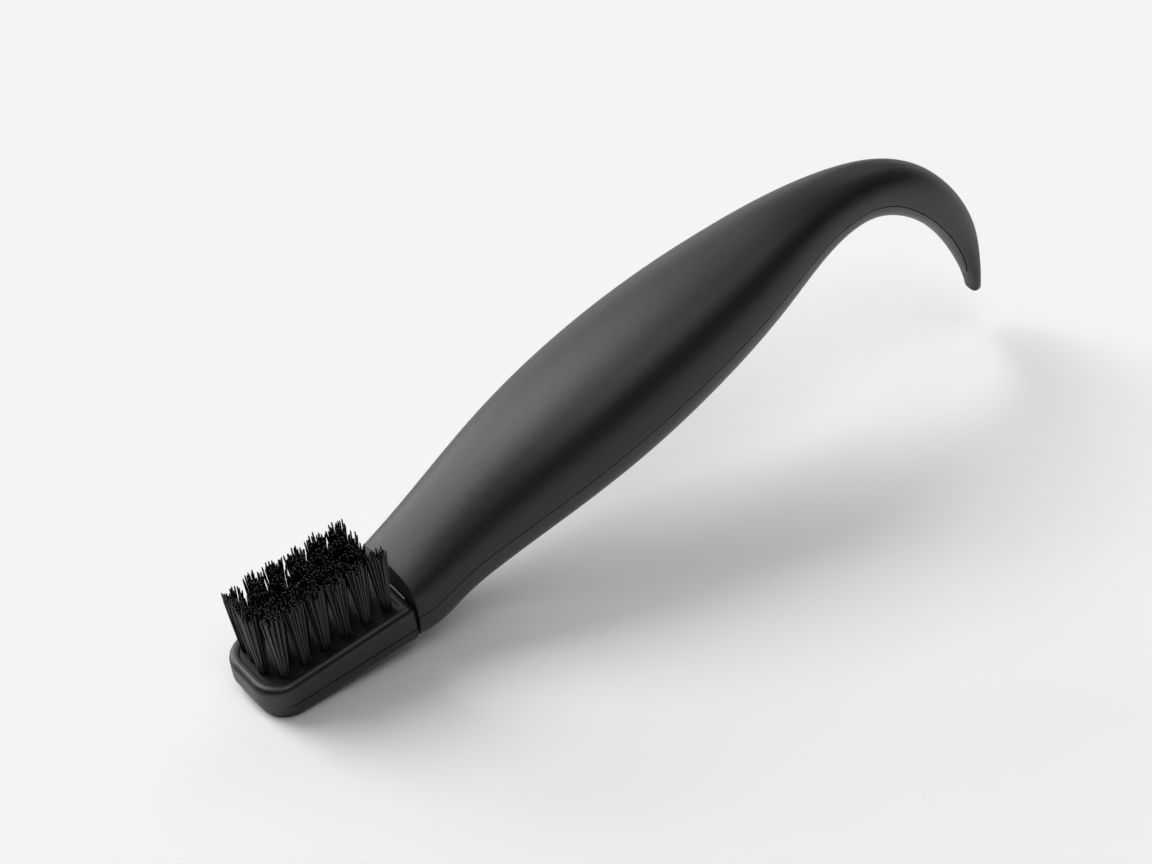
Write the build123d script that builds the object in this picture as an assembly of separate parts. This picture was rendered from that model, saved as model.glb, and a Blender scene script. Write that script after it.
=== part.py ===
from build123d import *
import math
import os

# Crevice brush: a flat two-part head with four rows of nylon tufts, held by its tang in a two-shell handle
# that swells into a grip and ends in a claw hook.
# Frame: origin at the centre of the head's flat foot, +X towards the handle, +Z the way the tufts point.
# All lengths are in millimetres.

# Head
head_length = 34.0
head_width = 18.1
foot_seam_height = 3.1
toe_height = 7.8
heel_height = 8.8
toe_corner_radius = 6.0
heel_corner_radius = 0.9
rim_width = 2.1
rim_height = 0.3
rim_radius = 1.4
field_edge_radius = 0.25
foot_edge_radius = 1.3
base_inset = 0.08
base_toe_recess = 0.65
head_seam_gap = 0.28
head_seam_radius = 0.15
locating_pad_height = 0.6
locating_pad_inset = 2.4
locating_clearance = 0.1

# Tufts
row_shift_shares = (0.5, 0.0, 0.1, 0.15)
tuft_rows = len(row_shift_shares)
tufts_per_row = 6
toe_margin = 3.75
heel_margin = 4.15
side_margin = 3.75
tuft_tip_height = 24.2
tuft_hole_diameter = 1.9
tuft_hole_depth = 3.6
tuft_root_diameter = 1.7
strand_width = 0.26
strand_ring_counts = (1, 5, 10)
root_ring_shares = (0.0, 0.42, 0.84)
tip_spread_share = 0.98
tip_scatter = 0.5
strand_sink = 0.5
anchor_length = 1.5
anchor_height = 1.1
anchor_thickness = 0.35
anchor_clearance = 0.05

# Tang that carries the head in the handle
tang_length = 19.0
tang_width = 10.0
tang_thickness = 4.0
tang_root_height = 5.8
tang_slope_degrees = 18.0
tang_overlap = 1.2
tang_clearance = 0.12
tang_pin_place = 13.0
tang_pin_diameter = 3.0
tang_boss_diameter = 6.4
pin_clearance = 0.06
pin_reach = 2.5

# Handle
mouth_gap = 0.2
handle_reach = 143.8
spine_crest_height = 35.2
hook_tip_drop = 10.5
mouth_depth = 16.0
mouth_width = 18.5
mouth_drop = 1.8
mouth_slope_degrees = 0.0
grip_depth = 24.9
grip_width = 28.7
hook_depth = 10.4
hook_width = 10.4
tip_depth = 3.1
tip_width = 3.2
tip_slope_degrees = -97.0
mouth_lip_radius = 0.3
tip_round_radius = 0.95
shell_wall = 2.4
shell_seam_gap = 0.2
cavity_start_share = 0.045
cavity_end_share = 0.62

# Where the spine passes: how far along the handle's reach, and how high against the crest
spine_rise_shares = [
    (0.05, 0.235),
    (0.11, 0.335),
    (0.222, 0.488),
    (0.376, 0.656),
    (0.523, 0.806),
    (0.667, 0.948),
    (0.777, 0.999),
    (0.859, 0.886),
    (0.912, 0.704),
    (0.962, 0.388),
    (0.989, 0.056),
]

# Sections along the spine: place, depth, width, corner fullness, and the seam's drop below the spine
mouth_shares = [
    (0.0, 1.0, 1.0, 0.84, 0.02),
    (0.03, 1.025, 1.10, 0.78, -0.02),
]
grip_shares = [
    (0.06, 0.683, 0.740, 0.72, -0.06),
    (0.11, 0.762, 0.803, 0.68, -0.04),
    (0.20, 0.917, 0.931, 0.66, 0.05),
    (0.31, 1.0, 1.0, 0.66, 0.08),
    (0.43, 0.944, 0.928, 0.66, 0.11),
    (0.53, 0.785, 0.752, 0.66, 0.13),
    (0.62, 0.572, 0.521, 0.66, 0.10),
]
hook_shares = [
    (0.70, 1.066, 1.078, 0.65, 0.16),
    (0.78, 0.978, 0.976, 0.64, 0.49),
    (0.86, 0.792, 0.789, 0.62, 0.65),
    (0.93, 0.553, 0.560, 0.61, 0.73),
]
tip_shares = [
    (1.0, 1.0, 1.0, 0.60, 1.15),
]

# Locating pegs between the shells: place along the spine, and side as a share of the peg spacing
peg_place_shares = [
    (0.24, -0.5),
    (0.24, 0.5),
    (0.47, -0.5),
    (0.47, 0.5),
]
peg_spacing = 13.0
peg_diameter = 2.6
peg_boss_diameter = 5.6
peg_clearance = 0.06
peg_reach = 3.0
socket_spare_depth = 0.5

# One overrun serves every cut
overrun = 12.0

# The tufts fill the field between its margins, and fan out until neighbours nearly touch.
# Each row is shifted towards the heel by its share of the pitch, the row on the -Y side first.
tuft_pitch = (head_length - toe_margin - heel_margin) / (tufts_per_row - 1 + max(row_shift_shares))
row_pitch = (head_width - 2 * side_margin) / (tuft_rows - 1)
tip_spread_along = tip_spread_share * tuft_pitch
tip_spread_across = tip_spread_share * row_pitch

head_rear = head_length / 2
handle_start = head_rear + mouth_gap
body_end = handle_start + handle_reach


def spine_points():
    """Middle of the handle in the XZ plane, from the mouth to the tip."""
    start = (handle_start, 0, mouth_depth / 2 - mouth_drop)
    middle = []
    for reach, rise in spine_rise_shares:
        middle.append((handle_start + reach * handle_reach, 0, rise * spine_crest_height))
    end = (body_end, 0, -hook_tip_drop)
    return [start, *middle, end]


def heading(degrees):
    """Unit direction in the XZ plane, so many degrees above +X."""
    return (math.cos(math.radians(degrees)), 0, math.sin(math.radians(degrees)))


spine = Spline(*spine_points(), tangents=[heading(mouth_slope_degrees), heading(tip_slope_degrees)])


def section_sizes(place):
    """Depth, width, corner fullness and seam drop share at a place along the spine."""
    rows = [(p, d * mouth_depth, w * mouth_width, f, s) for p, d, w, f, s in mouth_shares]
    rows += [(p, d * grip_depth, w * grip_width, f, s) for p, d, w, f, s in grip_shares]
    rows += [(p, d * hook_depth, w * hook_width, f, s) for p, d, w, f, s in hook_shares]
    rows += [(p, d * tip_depth, w * tip_width, f, s) for p, d, w, f, s in tip_shares]
    for low, high in zip(rows, rows[1:]):
        if place <= high[0]:
            mix = (place - low[0]) / (high[0] - low[0])
            return [a + (b - a) * mix for a, b in zip(low[1:], high[1:])]
    return list(rows[-1][1:])


def spine_plane(place):
    """Plane square to the spine, with its X across the handle and its Y on the upper side."""
    return Plane(origin=spine @ place, x_dir=(0, 1, 0), z_dir=spine % place)


def oval_section(place, inset=0.0):
    """Closed section of four matching curves, drawn in by the inset."""
    depth, width, fullness, _ = section_sizes(place)
    high = depth / 2 - inset
    side = width / 2 - inset
    corners = [(side, 0), (0, high), (-side, 0), (0, -high)]
    edges = []
    for (x0, y0), (x1, y1) in zip(corners, corners[1:] + corners[:1]):
        first = (x0 + x1 * fullness, y0 + y1 * fullness)
        second = (x1 + x0 * fullness, y1 + y0 * fullness)
        edges.append(Bezier((x0, y0), first, second, (x1, y1)))
    return spine_plane(place) * make_face(edges)


def section_places():
    """Places of every section row, in order from the mouth to the tip."""
    return [row[0] for row in mouth_shares + grip_shares + hook_shares + tip_shares]


def handle_outside():
    """Whole outside of the handle, solid, with its mouth and tip rounded over."""
    body = loft([oval_section(place) for place in section_places()])
    mouth_edges = body.faces().sort_by(Axis.X)[0].edges()
    body = fillet(mouth_edges, mouth_lip_radius)
    tip_edges = body.faces().sort_by_distance(spine @ 1)[0].edges()
    return fillet(tip_edges, tip_round_radius)


def handle_cavity():
    """Hollow inside the grip, one wall in from the outside."""
    middle = [p for p in section_places() if cavity_start_share < p < cavity_end_share]
    places = [cavity_start_share, *middle, cavity_end_share]
    return loft([oval_section(place, shell_wall) for place in places])


def seam_point(place, offset):
    """Point of the parting line below the spine, moved towards the lower side by the offset."""
    depth, _, _, seam_share = section_sizes(place)
    point = spine_plane(place).from_local_coords((0, -seam_share * depth / 2 - offset, 0))
    return (point.X, 0, point.Z)


def under_seam(offset):
    """Everything on the lower and inner side of the parting line, as a block across the handle."""
    line = [seam_point(place, offset) for place in section_places()]
    start_run = Vector(*line[0]) - (spine % 0) * overrun
    end_run = Vector(*line[-1]) + (spine % 1) * overrun
    curve = Spline(*line)
    deep = -hook_tip_drop - 2 * overrun
    outline = [
        Line(start_run, line[0]),
        curve,
        Line(line[-1], end_run),
        Line(end_run, (end_run.X, 0, deep)),
        Line((end_run.X, 0, deep), (start_run.X, 0, deep)),
        Line((start_run.X, 0, deep), start_run),
    ]
    return extrude(make_face(outline), grip_width / 2 + overrun, both=True)


def tang_plane():
    """Plane at the tang's root: its X runs along the tang and its Z is square to the tang's broad faces."""
    along = heading(tang_slope_degrees)
    upward = (-along[2], 0, along[0])
    return Plane(origin=(head_rear, 0, tang_root_height), x_dir=along, z_dir=upward)


def tang_block(clearance):
    """The tang, or with a clearance the slot that takes it."""
    length = tang_overlap + tang_length + clearance
    block = Box(
        length,
        tang_width + 2 * clearance,
        tang_thickness + 2 * clearance,
        align=(Align.MIN, Align.CENTER, Align.CENTER),
    )
    return tang_plane() * (Pos(-tang_overlap, 0, 0) * block)


def tang_pin_cylinder(diameter, low, high):
    """Cylinder on the tang pin's axis, between two heights over the tang's middle plane."""
    cylinder = Cylinder(diameter / 2, high - low, align=(Align.CENTER, Align.CENTER, Align.MIN))
    return tang_plane() * (Pos(tang_pin_place, 0, low) * cylinder)


def peg_cylinder(place, side, diameter, low, high):
    """Upright cylinder on a locating peg's axis, between two heights over the parting line."""
    seam = seam_point(place, 0)
    cylinder = Cylinder(diameter / 2, high - low, align=(Align.CENTER, Align.CENTER, Align.MIN))
    return Pos(seam[0], side * peg_spacing, seam[2] + low) * cylinder


def handle_shells():
    """Upper and lower shell, with the bosses, pegs and sockets that join them and hold the tang."""
    outside = handle_outside()
    cavity = handle_cavity()
    walls = outside - cavity
    below = under_seam(shell_seam_gap / 2)
    above_cut = under_seam(-shell_seam_gap / 2)
    tang_half = tang_thickness / 2

    upper_posts = [tang_pin_cylinder(tang_boss_diameter, tang_half, grip_depth)]
    lower_posts = [tang_pin_cylinder(tang_boss_diameter, -grip_depth, -tang_half)]
    for place, side in peg_place_shares:
        upper_posts.append(peg_cylinder(place, side, peg_boss_diameter, 0, grip_depth))
        lower_posts.append(peg_cylinder(place, side, peg_boss_diameter, -grip_depth, 0))

    upper = walls + [post & cavity for post in upper_posts]
    upper = upper - above_cut - tang_block(tang_clearance)
    lower = walls + [post & cavity for post in lower_posts]
    lower = (lower & below) - tang_block(tang_clearance)

    socket_high = tang_half + tang_clearance + pin_reach
    socket_diameter = tang_pin_diameter + 2 * pin_clearance
    upper -= tang_pin_cylinder(socket_diameter, tang_half, socket_high + socket_spare_depth)
    lower += tang_pin_cylinder(tang_pin_diameter, -tang_half - tang_boss_diameter / 2, socket_high)
    for place, side in peg_place_shares:
        upper += peg_cylinder(place, side, peg_diameter, -peg_reach, peg_reach)
        bore = peg_diameter + 2 * peg_clearance
        lower -= peg_cylinder(place, side, bore, -peg_reach - socket_spare_depth, peg_reach)
    return upper, lower


def head_plan(inset=0.0, toe_recess=0.0):
    """Head outline from above: round toe, nearly square heel. The inset draws it in all round."""
    half_width = head_width / 2 - inset
    front = -head_length / 2 + inset + toe_recess
    rear = head_rear - inset
    toe = toe_corner_radius - inset
    heel = max(heel_corner_radius - inset, heel_corner_radius / 2)
    corners = [(front, -half_width), (rear, -half_width), (rear, half_width), (front, half_width)]
    plan = make_face(Polyline(*corners, close=True))
    plan = fillet(plan.vertices().group_by(Axis.X)[0], toe)
    return fillet(plan.vertices().group_by(Axis.X)[-1], heel)


def field_height(x):
    """Height of the tuft field over the foot at a place along the head."""
    return toe_height + (heel_height - toe_height) * (x + head_length / 2) / head_length


def sloped_cut(rise):
    """Block over the head's sloping top, its underside raised by the given rise."""
    front = -head_length / 2 - overrun
    rear = head_rear + overrun
    top = heel_height + 2 * overrun
    outline = Polyline(
        (front, 0, field_height(front) + rise),
        (rear, 0, field_height(rear) + rise),
        (rear, 0, top),
        (front, 0, top),
        close=True,
    )
    return extrude(make_face(outline), head_width / 2 + overrun, both=True)


def tuft_places():
    """Row and column number and place of every tuft, each row with its own shift."""
    places = []
    for row in range(tuft_rows):
        first_x = toe_margin - head_length / 2 + row_shift_shares[row] * tuft_pitch
        y = side_margin - head_width / 2 + row * row_pitch
        for column in range(tufts_per_row):
            places.append((row + 1, column + 1, first_x + column * tuft_pitch, y))
    return places


def head_tray():
    """Upper part of the head: rim, sunk tuft field with blind holes, and the tang behind."""
    bottom = foot_seam_height + head_seam_gap / 2
    body = Pos(0, 0, bottom) * extrude(head_plan(), heel_height + overrun)
    body -= sloped_cut(rim_height)
    body = fillet(body.faces().sort_by(Axis.Z)[0].edges(), head_seam_radius)
    body = fillet(body.faces().sort_by(Axis.Z)[-1].edges(), rim_radius)
    body -= extrude(head_plan(rim_width), heel_height + overrun) & sloped_cut(0)
    rim_faces = [face for face in body.faces() if face.inner_wires()]
    body = fillet(rim_faces[0].inner_wires()[0].edges(), field_edge_radius)
    pad = head_plan(locating_pad_inset - locating_clearance)
    body -= Pos(0, 0, bottom) * extrude(pad, locating_pad_height)
    standing = (Align.CENTER, Align.CENTER, Align.MIN)
    drill = Cylinder(tuft_hole_diameter / 2, tuft_hole_depth + overrun, align=standing)
    for _, _, x, y in tuft_places():
        body -= Pos(x, y, field_height(x) - tuft_hole_depth) * drill
    body += tang_block(0)
    body -= tang_pin_cylinder(tang_pin_diameter + 2 * pin_clearance, -tang_thickness, tang_thickness)
    return body


def head_base():
    """Lower cover of the head: flat foot, soft bottom edge and a pad that locates it in the tray."""
    height = foot_seam_height - head_seam_gap / 2
    body = extrude(head_plan(base_inset, base_toe_recess), height)
    body = fillet(body.faces().sort_by(Axis.Z)[-1].edges(), head_seam_radius)
    body = fillet(body.faces().sort_by(Axis.Z)[0].edges(), foot_edge_radius)
    pad_height = locating_pad_height - locating_clearance + head_seam_gap
    body += Pos(0, 0, height) * extrude(head_plan(locating_pad_inset), pad_height)
    return body


def strand(root, tip):
    """One square bristle from its root to its tip."""
    run = tip - root
    return extrude(Plane(origin=root, z_dir=run) * Rectangle(strand_width, strand_width), run.length)


def tuft(row, column, x, y):
    """Fanned bundle of strands on the slug that sits in its hole."""
    floor = field_height(x) - tuft_hole_depth
    slug_bottom = floor + anchor_height + anchor_clearance
    slug_top = field_height(x)
    slug = Pos(x, y, slug_bottom) * Cylinder(
        tuft_root_diameter / 2, slug_top - slug_bottom, align=(Align.CENTER, Align.CENTER, Align.MIN)
    )
    strands = []
    for ring, count in enumerate(strand_ring_counts):
        ring_share = root_ring_shares[ring]
        for number in range(count):
            turn = 2 * math.pi * (number + row / tuft_rows + column / tufts_per_row) / count
            side_x, side_y = ring_share * math.cos(turn) / 2, ring_share * math.sin(turn) / 2
            spread = tuft_root_diameter - strand_width
            wave = math.sin(number * tufts_per_row + row * column + ring)
            tip_z = tuft_tip_height + tip_scatter * wave
            root = Vector(x + spread * side_x, y + spread * side_y, slug_top - strand_sink)
            tip = Vector(x + tip_spread_along * side_x, y + tip_spread_across * side_y, tip_z)
            strands.append(strand(root, tip))
    return slug.fuse(*strands)


def tuft_anchors():
    """Small metal strip under the slug of every tuft, standing on the floor of its hole."""
    standing = (Align.CENTER, Align.CENTER, Align.MIN)
    strips = []
    for _, _, x, y in tuft_places():
        strip = Box(anchor_length, anchor_thickness, anchor_height, align=standing)
        strips.append(Pos(x, y, field_height(x) - tuft_hole_depth) * strip)
    return Compound(children=strips)


def write(name, shape):
    """Writes one node's STEP file."""
    export_step(shape, os.path.join("parts", name + ".step"))


os.makedirs("parts", exist_ok=True)
upper_shell, lower_shell = handle_shells()
write("handle_upper_shell", upper_shell)
write("handle_lower_shell", lower_shell)
write("head_tray", head_tray())
write("head_base", head_base())
for row, column, x, y in tuft_places():
    write(f"tuft_row{row}_{column}", tuft(row, column, x, y))
write("tuft_anchors", tuft_anchors())
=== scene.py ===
# %% [markdown]
# # A crevice brush, finished in Blender
# The real object is a hand brush, moulded in black plastic. A round-toed head carries four rows of stiff
# nylon tufts. A two-shell handle swells into a grip and curls over into a claw hook. The construction is
# loaded first as a fixed frame, and everything after it gives that frame its finish.

# %% Load the frame
import math

import bpy
import numpy as np
from mathutils import Matrix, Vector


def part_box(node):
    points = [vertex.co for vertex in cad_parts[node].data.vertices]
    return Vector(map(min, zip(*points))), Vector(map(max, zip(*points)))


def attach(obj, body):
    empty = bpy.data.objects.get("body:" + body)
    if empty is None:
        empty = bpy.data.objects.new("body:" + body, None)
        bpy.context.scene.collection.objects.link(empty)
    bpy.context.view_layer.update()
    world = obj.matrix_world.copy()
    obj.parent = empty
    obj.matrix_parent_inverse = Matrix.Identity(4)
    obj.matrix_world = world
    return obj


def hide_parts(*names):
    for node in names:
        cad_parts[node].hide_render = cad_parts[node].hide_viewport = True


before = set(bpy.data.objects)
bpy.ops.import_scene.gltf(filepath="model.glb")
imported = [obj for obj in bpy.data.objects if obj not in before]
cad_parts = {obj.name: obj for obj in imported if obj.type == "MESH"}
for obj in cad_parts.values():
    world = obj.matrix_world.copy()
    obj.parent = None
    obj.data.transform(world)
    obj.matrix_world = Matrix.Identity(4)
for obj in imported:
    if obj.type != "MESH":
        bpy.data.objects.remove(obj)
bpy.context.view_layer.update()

print("pieces in the frame:", len(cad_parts))

# %% [markdown]
# ## Camera
# The photograph was taken from above the toe's near side with a long lens, so near and far ends keep
# almost the same scale. A camera can be placed by hand until it looks right. Here its place follows from
# the point that it looks at, two angles, a roll and a distance, which is easier to read and to correct.

# %% Small helpers for lengths and directions
MM = 0.001


def direction(azimuth, elevation):
    """Unit vector towards a place so many degrees round from -Y and so many above the ground."""
    turn, rise = math.radians(azimuth), math.radians(elevation)
    return np.array([math.sin(turn) * math.cos(rise), -math.cos(turn) * math.cos(rise), math.sin(rise)])


def facing(backward, roll=0.0):
    """Rotation, as three rows, for an object that looks along minus its own Z.

    Its columns are the directions right, up and back.
    """
    level_right = np.cross([0.0, 0.0, 1.0], backward)
    level_right /= np.linalg.norm(level_right)
    level_up = np.cross(backward, level_right)
    turn = math.radians(roll)
    right = math.cos(turn) * level_right + math.sin(turn) * level_up
    up = -math.sin(turn) * level_right + math.cos(turn) * level_up
    return np.array([right, up, backward]).T


# %% Place the camera
photo_width_px = 1152
focal_length_px = 4442
sensor_width_mm = 36.0
camera_azimuth = -29.78
camera_elevation = 46.24
camera_roll = -9.41
camera_distance = 856 * MM
looked_at = np.array([62.97, 0.0, 17.16]) * MM

towards_camera = direction(camera_azimuth, camera_elevation)
camera_axes = facing(towards_camera, camera_roll)

camera_data = bpy.data.cameras.new("photo_camera")
camera_data.sensor_width = sensor_width_mm
camera_data.lens = focal_length_px / photo_width_px * sensor_width_mm
camera = bpy.data.objects.new("photo_camera", camera_data)
bpy.context.scene.collection.objects.link(camera)
camera.matrix_world = Matrix.LocRotScale(
    looked_at + towards_camera * camera_distance, Matrix(camera_axes.tolist()).to_quaternion(), None
)
bpy.context.scene.camera = camera
print("lens in mm:", round(camera_data.lens, 1), "camera at:", [round(v, 3) for v in camera.location])

# %% [markdown]
# ## Colours and shader nodes
# Colours are chosen as a painter would name them, as sRGB hex codes. Blender's shaders work in linear
# light, so one function turns a code into linear values. One more function adds a shader node with its
# settings and its links, which keeps each material down to the few lines that describe the finish.

# %% Helpers for materials
# The colour Mix node keeps its two colours and its result in these sockets.
mix_first, mix_second, mix_result = 6, 7, 2


def linear(hex_code):
    """Linear RGBA of an sRGB hex code.

    Near black it is c/12.92, and otherwise ((c + 0.055) / 1.055) to the power 2.4.
    """
    channels = np.array([int(hex_code[i:i + 2], 16) for i in (1, 3, 5)]) / 255
    light = np.where(channels <= 0.04045, channels / 12.92, ((channels + 0.055) / 1.055) ** 2.4)
    return (*light.tolist(), 1.0)


def add_node(tree, kind, settings=None, values=None, links=None):
    """Adds a node, sets its properties and its sockets' values, and links inputs to (node, output) pairs."""
    node = tree.nodes.new(kind)
    for name, setting in (settings or {}).items():
        setattr(node, name, setting)
    for socket, value in (values or {}).items():
        node.inputs[socket].default_value = value
    for socket, (source, output) in (links or {}).items():
        tree.links.new(source.outputs[output], node.inputs[socket])
    return node


def new_material(name):
    """Empty node material and its tree."""
    material = bpy.data.materials.new(name)
    material.use_nodes = True
    material.node_tree.nodes.clear()
    return material, material.node_tree


# %% [markdown]
# ## Moulded black plastic
# The head and the lower shell are injection moulded, and the mould's fine spark-eroded grain leaves a
# satin surface with hardly any mirror in it. The upper shell has a soft-touch coat over a like grain,
# which is a little greyer and duller. Both are the same kind of finish with other numbers, so one
# function makes them: a slow cloudiness moves the colour and the roughness by a few percent, and a fine
# grain lifts the surface by about two hundredths of a millimetre. Real grain is finer than the picture
# can show, so it is drawn about 0.3 mm wide.

# %% Moulded plastic material
grain_detail = 2.0
cloud_detail = 3.0


def moulded_plastic(name, dark, light, roughness, ior, grain_width, grain_height, cloud_width):
    """Satin plastic: colour and roughness follow a slow noise, and a fine noise makes the moulded grain."""
    material, tree = new_material(name)
    place = add_node(tree, "ShaderNodeTexCoord")
    cloud = add_node(
        tree,
        "ShaderNodeTexNoise",
        values={"Scale": 1 / cloud_width, "Detail": cloud_detail},
        links={"Vector": (place, "Object")},
    )
    grain = add_node(
        tree,
        "ShaderNodeTexNoise",
        values={"Scale": 1 / grain_width, "Detail": grain_detail},
        links={"Vector": (place, "Object")},
    )
    colour = add_node(
        tree,
        "ShaderNodeMix",
        settings={"data_type": "RGBA"},
        links={"Factor": (cloud, "Fac")},
    )
    colour.inputs[mix_first].default_value = linear(dark)
    colour.inputs[mix_second].default_value = linear(light)
    dullness = add_node(
        tree,
        "ShaderNodeMapRange",
        values={"To Min": roughness[0], "To Max": roughness[1]},
        links={"Value": (grain, "Fac")},
    )
    relief = add_node(
        tree,
        "ShaderNodeBump",
        values={"Strength": 1.0, "Distance": grain_height},
        links={"Height": (grain, "Fac")},
    )
    plastic = add_node(tree, "ShaderNodeBsdfPrincipled", values={"IOR": ior})
    tree.links.new(colour.outputs[mix_result], plastic.inputs["Base Color"])
    tree.links.new(dullness.outputs["Result"], plastic.inputs["Roughness"])
    tree.links.new(relief.outputs["Normal"], plastic.inputs["Normal"])
    add_node(tree, "ShaderNodeOutputMaterial", links={"Surface": (plastic, "BSDF")})
    return material


soft_touch = moulded_plastic(
    "soft_touch_elastomer",
    dark="#121213",
    light="#171719",
    roughness=(0.40, 0.54),
    ior=1.5,
    grain_width=0.35 * MM,
    grain_height=0.020 * MM,
    cloud_width=18 * MM,
)
lower_plastic = moulded_plastic(
    "moulded_abs_satin",
    dark="#121213",
    light="#161618",
    roughness=(0.36, 0.48),
    ior=1.54,
    grain_width=0.3 * MM,
    grain_height=0.016 * MM,
    cloud_width=14 * MM,
)
head_plastic = moulded_plastic(
    "moulded_polypropylene_satin",
    dark="#131313",
    light="#171718",
    roughness=(0.34, 0.46),
    ior=1.49,
    grain_width=0.3 * MM,
    grain_height=0.024 * MM,
    cloud_width=10 * MM,
)

# %% [markdown]
# ## Nylon and brass
# Each tuft is a bundle of drawn nylon strands. Drawing makes them smooth and glossy along their length,
# and every strand takes the light a little differently, so each strand carries its own random shade as
# an attribute. The little anchors that hold the tufts are punched from flat brass wire. They are hidden
# in the holes, and still get their own metal.

# %% Nylon and brass materials
nylon_dark, nylon_light = "#0e0e0f", "#222223"
nylon_roughness = (0.3, 0.45)
nylon_ior = 1.53
brass_colour = "#d6bd7a"
brass_roughness = (0.25, 0.45)
brass_stain_width = 0.4 * MM


def nylon_material():
    """Drawn nylon: a shade attribute moves the colour and the gloss from strand to strand."""
    material, tree = new_material("drawn_nylon_black")
    shade = add_node(tree, "ShaderNodeAttribute", settings={"attribute_name": "strand_shade"})
    colour = add_node(
        tree,
        "ShaderNodeMix",
        settings={"data_type": "RGBA"},
        links={"Factor": (shade, "Fac")},
    )
    colour.inputs[mix_first].default_value = linear(nylon_dark)
    colour.inputs[mix_second].default_value = linear(nylon_light)
    gloss = add_node(
        tree,
        "ShaderNodeMapRange",
        values={"To Min": nylon_roughness[0], "To Max": nylon_roughness[1]},
        links={"Value": (shade, "Fac")},
    )
    nylon = add_node(tree, "ShaderNodeBsdfPrincipled", values={"IOR": nylon_ior})
    tree.links.new(colour.outputs[mix_result], nylon.inputs["Base Color"])
    tree.links.new(gloss.outputs["Result"], nylon.inputs["Roughness"])
    add_node(tree, "ShaderNodeOutputMaterial", links={"Surface": (nylon, "BSDF")})
    return material


def brass_material():
    """Punched flat wire: fine noise dulls the metal unevenly."""
    material, tree = new_material("punched_brass_wire")
    place = add_node(tree, "ShaderNodeTexCoord")
    stain = add_node(
        tree,
        "ShaderNodeTexNoise",
        values={"Scale": 1 / brass_stain_width},
        links={"Vector": (place, "Object")},
    )
    dullness = add_node(
        tree,
        "ShaderNodeMapRange",
        values={"To Min": brass_roughness[0], "To Max": brass_roughness[1]},
        links={"Value": (stain, "Fac")},
    )
    brass = add_node(
        tree,
        "ShaderNodeBsdfPrincipled",
        values={"Base Color": linear(brass_colour), "Metallic": 1.0},
        links={"Roughness": (dullness, "Result")},
    )
    add_node(tree, "ShaderNodeOutputMaterial", links={"Surface": (brass, "BSDF")})
    return material


nylon = nylon_material()
brass = brass_material()

# %% [markdown]
# ## Tufts
# A tuft is a bundle of strands, folded over its anchor and driven into a blind hole. The strands come
# out packed tight, fan out towards the tips and were trimmed by a cutter, which leaves them uneven by up
# to about a millimetre. Hair particles could draw them, but they would not be real geometry. So all the
# strands of a tuft are one array of points: strand by ring by side.

# %% Where the tufts stand
tuft_nodes = sorted(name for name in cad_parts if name.startswith("tuft_row"))
strands_per_tuft = 38
strand_diameter = 0.38 * MM
root_spread = 1.85 * MM
tip_spread = np.array([4.9, 3.8, 0.0]) * MM
trim_unevenness = 1.3 * MM
trim_bias = 1.5
bow = 0.1 * MM
tip_wander = 0.14 * MM
cut_end_share = 0.72
strand_sides = 6
sharp_edge_degrees = 50
ring_shares = np.array([0.0, 0.35, 0.7, 0.965, 1.0])
golden_turn = math.pi * (3 - math.sqrt(5))


def tuft_frame(node):
    """Middle of a tuft's foot and the height of its tips, from the box of its node."""
    low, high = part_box(node)
    middle = np.array([(low.x + high.x) / 2, (low.y + high.y) / 2, low.z])
    return middle, high.z


# %% Strand surfaces as one array


def strand_points(middle, tip_height, random):
    """Points of every strand, shaped strand x ring x side x 3.

    Strand k starts on a sunflower spiral, at radius R sqrt(k/n) and angle k times the golden turn, and
    ends at the same angle on a wider oval spiral. Its middle line is the straight run from root to tip
    plus a bow that follows s(1 - s). Each ring is a circle square to the Z axis, and the last is
    smaller, as the cutter leaves it.
    """
    index = np.arange(strands_per_tuft)
    share = np.sqrt((index + 0.5) / strands_per_tuft)
    angle = index * golden_turn + random.uniform(0, 2 * math.pi)
    outward = np.stack([np.cos(angle), np.sin(angle), np.zeros_like(angle)], axis=1)
    wander = random.normal(0, tip_wander, (strands_per_tuft, 3)) * [1, 1, 0]
    top = tip_height - random.uniform(0, 1, strands_per_tuft) ** trim_bias * trim_unevenness
    root = middle + outward * (share * (root_spread - strand_diameter) / 2)[:, None]
    tip = middle + outward * share[:, None] * (tip_spread - strand_diameter) / 2 + wander
    tip[:, 2] = top
    along = ring_shares[None, :, None]
    lean = random.normal(0, bow, (strands_per_tuft, 1, 3)) * [1, 1, 0]
    line = root[:, None] + (tip - root)[:, None] * along + 4 * lean * along * (1 - along)
    turn = np.arange(strand_sides) * 2 * math.pi / strand_sides
    ring = np.stack([np.cos(turn), np.sin(turn), np.zeros(strand_sides)], axis=1) * strand_diameter / 2
    thickness = np.where(ring_shares == 1, cut_end_share, 1.0)
    return line[:, :, None] + ring[None, None] * thickness[None, :, None, None]


def strand_faces():
    """Faces of one strand: quads between rings, and a many-sided cap at each end."""
    side = np.arange(strand_sides)
    after = (side + 1) % strand_sides
    quads = []
    for ring in range(len(ring_shares) - 1):
        low, high = ring * strand_sides, (ring + 1) * strand_sides
        quads.append(np.stack([low + side, low + after, high + after, high + side], axis=1))
    return np.concatenate(quads), side[::-1], side + (len(ring_shares) - 1) * strand_sides


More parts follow.
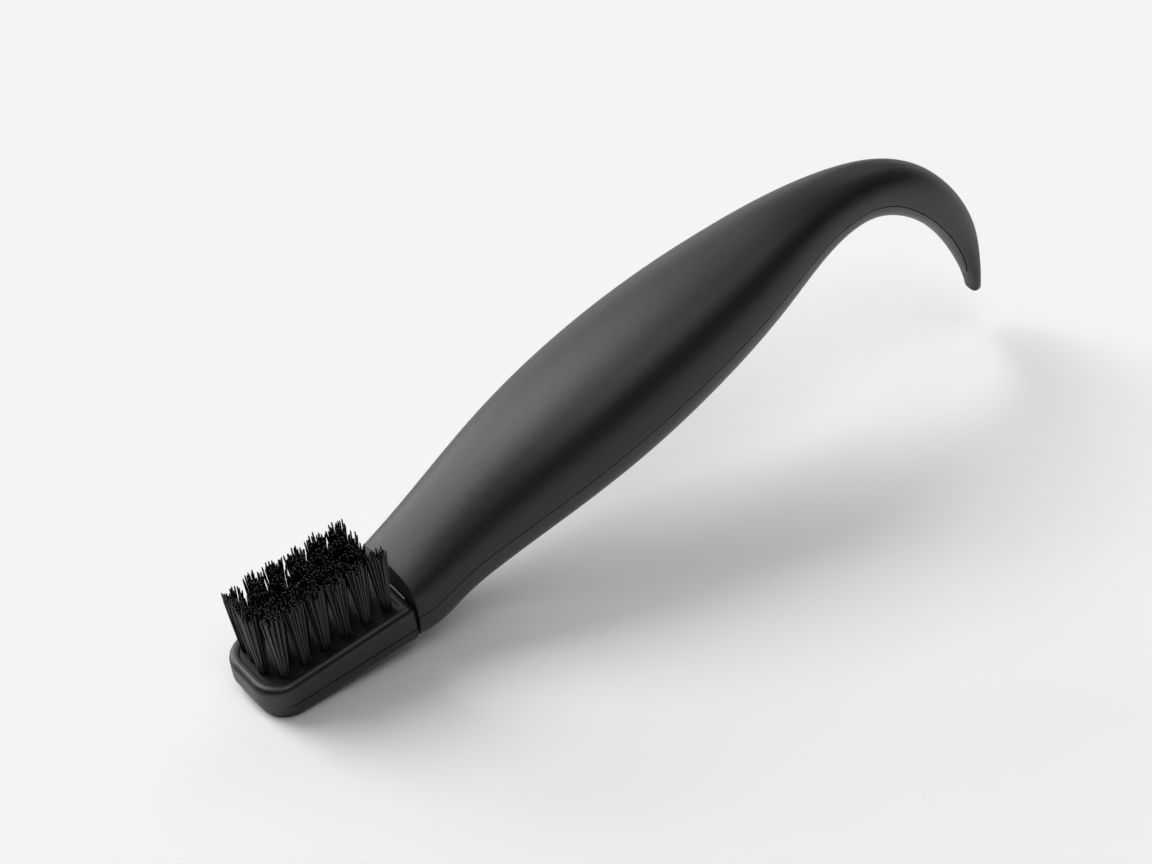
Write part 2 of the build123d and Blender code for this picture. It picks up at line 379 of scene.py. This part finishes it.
def make_tuft(node, number):
    """One tuft as a mesh that stands for its node."""
    random = np.random.default_rng(number)
    middle, tip_height = tuft_frame(node)
    points = strand_points(middle, tip_height, random)
    quads, foot_cap, tip_cap = strand_faces()
    points_per_strand = len(ring_shares) * strand_sides
    faces = []
    for strand in range(strands_per_tuft):
        first = strand * points_per_strand
        faces += (quads + first).tolist() + [(foot_cap + first).tolist(), (tip_cap + first).tolist()]
    mesh = bpy.data.meshes.new("nylon_" + node)
    mesh.from_pydata(points.reshape(-1, 3).tolist(), [], faces)
    shade = mesh.attributes.new("strand_shade", "FLOAT", "POINT")
    shade.data.foreach_set("value", np.repeat(random.uniform(0, 1, strands_per_tuft), points_per_strand))
    mesh.shade_smooth()
    mesh.set_sharp_from_angle(angle=math.radians(sharp_edge_degrees))
    mesh.materials.append(nylon)
    tuft = bpy.data.objects.new("nylon_" + node, mesh)
    bpy.context.scene.collection.objects.link(tuft)
    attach(tuft, "root")
    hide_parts(node)
    return tuft


# %% Build the tufts
tufts = [make_tuft(node, number) for number, node in enumerate(tuft_nodes)]
print("tufts:", len(tufts), "faces in one:", len(tufts[0].data.polygons))

# %% [markdown]
# ## Finishes on the frame's own pieces
# The head's tray and base, both handle shells and the anchors already have their real shape, so they
# keep it and get their materials here.

# %% Assign the finishes
node_finishes = {
    "handle_upper_shell": soft_touch,
    "handle_lower_shell": lower_plastic,
    "head_tray": head_plastic,
    "head_base": head_plastic,
    "tuft_anchors": brass,
}
for node, finish in node_finishes.items():
    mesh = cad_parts[node].data
    mesh.materials.clear()
    mesh.materials.append(finish)
    print(node, "points:", len(mesh.vertices), "own normals:", mesh.has_custom_normals)

# %% [markdown]
# ## Floor and light
# The brush stands on a plain pale sheet with the edge of its toe. The light is that of wide soft boxes,
# most of it from behind and to the left. It draws the broad grey light on top of the grip, leaves the
# side towards the camera nearly black, and the pale floor fills the lower side again. Area lamps close
# by would make the floor brighter under them, so far lamps with a wide disc are used, which light the
# whole floor evenly and still cast soft shadows.

# %% Floor
floor_size = 6.0
floor_normal = np.array([0.12, 0.0, 0.993])
floor_colour = "#f7f7f6"
floor_roughness = 0.9
floor_specular_level = 0.2


def make_floor():
    """Square of pale board through the toe's lowest edge, square to the floor's normal."""
    normal = floor_normal / np.linalg.norm(floor_normal)
    foot_low, foot_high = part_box("head_base")
    corners_x = (foot_low.x, foot_high.x)
    corners_y = (foot_low.y, foot_high.y)
    lowest = min(normal @ np.array([x, y, foot_low.z]) for x in corners_x for y in corners_y)
    across = np.cross(normal, [0.0, 1.0, 0.0])
    across /= np.linalg.norm(across)
    along = np.cross(normal, across)
    centre = normal * lowest
    half = floor_size / 2
    corners = [centre + half * (a * across + b * along) for a, b in ((-1, -1), (-1, 1), (1, 1), (1, -1))]
    mesh = bpy.data.meshes.new("floor")
    mesh.from_pydata([corner.tolist() for corner in corners], [], [(0, 1, 2, 3)])
    material, tree = new_material("pale_board")
    board = add_node(
        tree,
        "ShaderNodeBsdfPrincipled",
        values={
            "Base Color": linear(floor_colour),
            "Roughness": floor_roughness,
            "Specular IOR Level": floor_specular_level,
        },
    )
    add_node(tree, "ShaderNodeOutputMaterial", links={"Surface": (board, "BSDF")})
    mesh.materials.append(material)
    floor = bpy.data.objects.new("floor", mesh)
    bpy.context.scene.collection.objects.link(floor)
    return floor


floor = make_floor()
print("floor corners:", len(floor.data.vertices))

# %% Soft lamps and backdrop
lamp_width_degrees = 35.0
room_fill = 0.02
backdrop_colour = "#f4f4f3"
soft_lamps = [
    ("key_behind_left", 200.0, 50.0, 1.88),
    ("low_behind_left", 200.0, 10.0, 1.8),
    ("low_behind_right", 160.0, 10.0, 0.55),
    ("right_side", 120.0, 28.0, 0.3),
    ("overhead_behind", 216.0, 72.0, 0.4),
    ("overhead_front", 0.0, 72.0, 0.72),
]


def make_soft_lamp(name, azimuth, elevation, strength):
    """Far lamp, as wide in the sky as a large soft box, that shines on the brush from a direction."""
    data = bpy.data.lights.new(name, "SUN")
    data.angle = math.radians(lamp_width_degrees)
    data.energy = strength
    lamp = bpy.data.objects.new(name, data)
    bpy.context.scene.collection.objects.link(lamp)
    lamp.matrix_world = Matrix(facing(direction(azimuth, elevation)).tolist()).to_4x4()
    return lamp


def make_world():
    """Dim room light, and a pale backdrop that only the camera sees."""
    world = bpy.data.worlds.new("studio")
    world.use_nodes = True
    tree = world.node_tree
    tree.nodes.clear()
    ray = add_node(tree, "ShaderNodeLightPath")
    room_light = {"Color": linear("#ffffff"), "Strength": room_fill}
    room = add_node(tree, "ShaderNodeBackground", values=room_light)
    backdrop_light = {"Color": linear(backdrop_colour), "Strength": 1.0}
    backdrop = add_node(tree, "ShaderNodeBackground", values=backdrop_light)
    shown = add_node(tree, "ShaderNodeMixShader", links={"Fac": (ray, "Is Camera Ray")})
    tree.links.new(room.outputs["Background"], shown.inputs[1])
    tree.links.new(backdrop.outputs["Background"], shown.inputs[2])
    add_node(tree, "ShaderNodeOutputWorld", links={"Surface": (shown, "Shader")})
    return world


for lamp_name, azimuth, elevation, strength in soft_lamps:
    make_soft_lamp(lamp_name, azimuth, elevation, strength)
bpy.context.scene.world = make_world()
print("lamps:", len(soft_lamps))

# %% [markdown]
# ## Colour management
# The picture is shown with the standard view, so a colour comes out about as it is written.

# %% Colour management
bpy.context.scene.view_settings.view_transform = "Standard"
